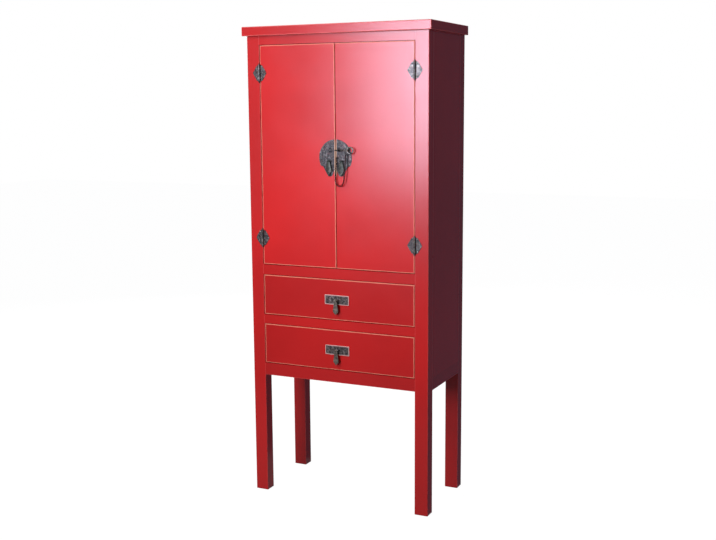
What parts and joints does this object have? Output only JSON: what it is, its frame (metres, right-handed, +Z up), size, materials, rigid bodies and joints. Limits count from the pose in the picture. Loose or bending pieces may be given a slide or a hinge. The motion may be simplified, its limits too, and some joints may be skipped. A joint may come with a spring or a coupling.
{
  "type": "wedding cabinet",
  "caption": "Tall narrow lacquered cabinet on straight legs: inset doors with hinges, lock plate, pin and chain, over inset drawers with hanging tongue pulls.",
  "frame": {"origin": "on the floor, in the middle of the cabinet's overall width and depth", "axes": "+Z up; the doors and drawers face -Y; +X is to the right seen from the front"},
  "size_m": [0.674, 0.3435, 1.6],
  "materials": {
    "red_lacquer": "satin red lacquer, rubbed edges",
    "inside_wood": "thin matt red stain",
    "dark_hardware": "dark aged metal",
    "tack_metal": "dark aged metal",
    "chain_metal": "brown aged metal"
  },
  "bodies": {
    "carcass": {"apron_back": "red_lacquer", "apron_front": "red_lacquer", "apron_left": "red_lacquer", "apron_right": "red_lacquer", "post_back_left": "red_lacquer", "post_back_right": "red_lacquer", "post_front_left": "red_lacquer", "post_front_right": "red_lacquer", "post_hinge_leaves_left": "dark_hardware", "post_hinge_leaves_right": "dark_hardware", "post_tacks": "tack_metal", "rail_back_top": "red_lacquer", "rail_drawers": "red_lacquer", "rail_top": "red_lacquer", "rail_waist": "red_lacquer", "runners_lower": "inside_wood", "runners_upper": "inside_wood", "side_panel_left": "red_lacquer", "side_panel_right": "red_lacquer", "top_board": "red_lacquer", "back_panel": "inside_wood", "cupboard_floor": "inside_wood", "shelf": "inside_wood", "bottom_board": "inside_wood", "board_cleats": "inside_wood", "hinge_pins": "dark_hardware"},
    "left_door": {"door_left": "red_lacquer", "battens_left": "inside_wood", "door_hinge_leaves_left": "dark_hardware", "lock_plate_left": "dark_hardware", "door_tacks_left": "tack_metal", "lock_staple_left": "dark_hardware", "pull_staple_left": "dark_hardware"},
    "right_door": {"door_right": "red_lacquer", "battens_right": "inside_wood", "door_hinge_leaves_right": "dark_hardware", "lock_plate_right": "dark_hardware", "door_tacks_right": "tack_metal", "lock_staple_right": "dark_hardware", "pull_staple_right": "dark_hardware", "chain_staple": "dark_hardware", "lock_chain": "chain_metal"},
    "lock_pin": {"lock_pin": "dark_hardware", "pin_link": "dark_hardware"},
    "left_pull": {"door_pull_left": "dark_hardware"},
    "right_pull": {"door_pull_right": "dark_hardware"},
    "upper_drawer": {"drawer_front_upper": "red_lacquer", "drawer_sides_upper": "inside_wood", "drawer_bottom_upper": "inside_wood", "drawer_back_upper": "inside_wood", "pull_plate_upper": "dark_hardware", "pull_staple_upper": "dark_hardware"},
    "upper_pull": {"drawer_pull_upper": "dark_hardware"},
    "lower_drawer": {"drawer_front_lower": "red_lacquer", "drawer_sides_lower": "inside_wood", "drawer_bottom_lower": "inside_wood", "drawer_back_lower": "inside_wood", "pull_plate_lower": "dark_hardware", "pull_staple_lower": "dark_hardware"},
    "lower_pull": {"drawer_pull_lower": "dark_hardware"}
  },
  "joints": [
    {"name": "left_door_swing", "type": "hinge", "parent": "carcass", "child": "left_door", "pos_m": [-0.278, -0.15855, 1.174], "axis": [0, 0, -1], "range_deg": [0, 175]},
    {"name": "right_door_swing", "type": "hinge", "parent": "carcass", "child": "right_door", "pos_m": [0.278, -0.15855, 1.174], "axis": [0, 0, 1], "range_deg": [0, 175]},
    {"name": "left_pull_swing", "type": "hinge", "parent": "left_door", "child": "left_pull", "pos_m": [-0.0225, -0.16025, 1.163], "axis": [-1, 0, 0], "range_deg": [-3, 150]},
    {"name": "right_pull_swing", "type": "hinge", "parent": "right_door", "child": "right_pull", "pos_m": [0.0225, -0.16025, 1.163], "axis": [-1, 0, 0], "range_deg": [-3, 150]},
    {"name": "lock_pin_slide", "type": "slide", "parent": "right_door", "child": "lock_pin", "axis": [-1, 0, 0], "range_m": [0, 0.021]},
    {"name": "upper_drawer_slide", "type": "slide", "parent": "carcass", "child": "upper_drawer", "axis": [0, -1, 0], "range_m": [0, 0.24]},
    {"name": "upper_pull_swing", "type": "hinge", "parent": "upper_drawer", "child": "upper_pull", "pos_m": [0, -0.16625, 0.703], "axis": [-1, 0, 0], "range_deg": [-10, 150]},
    {"name": "lower_drawer_slide", "type": "slide", "parent": "carcass", "child": "lower_drawer", "axis": [0, -1, 0], "range_m": [0, 0.24]},
    {"name": "lower_pull_swing", "type": "hinge", "parent": "lower_drawer", "child": "lower_pull", "pos_m": [0, -0.16625, 0.532], "axis": [-1, 0, 0], "range_deg": [-10, 150]}
  ]
}
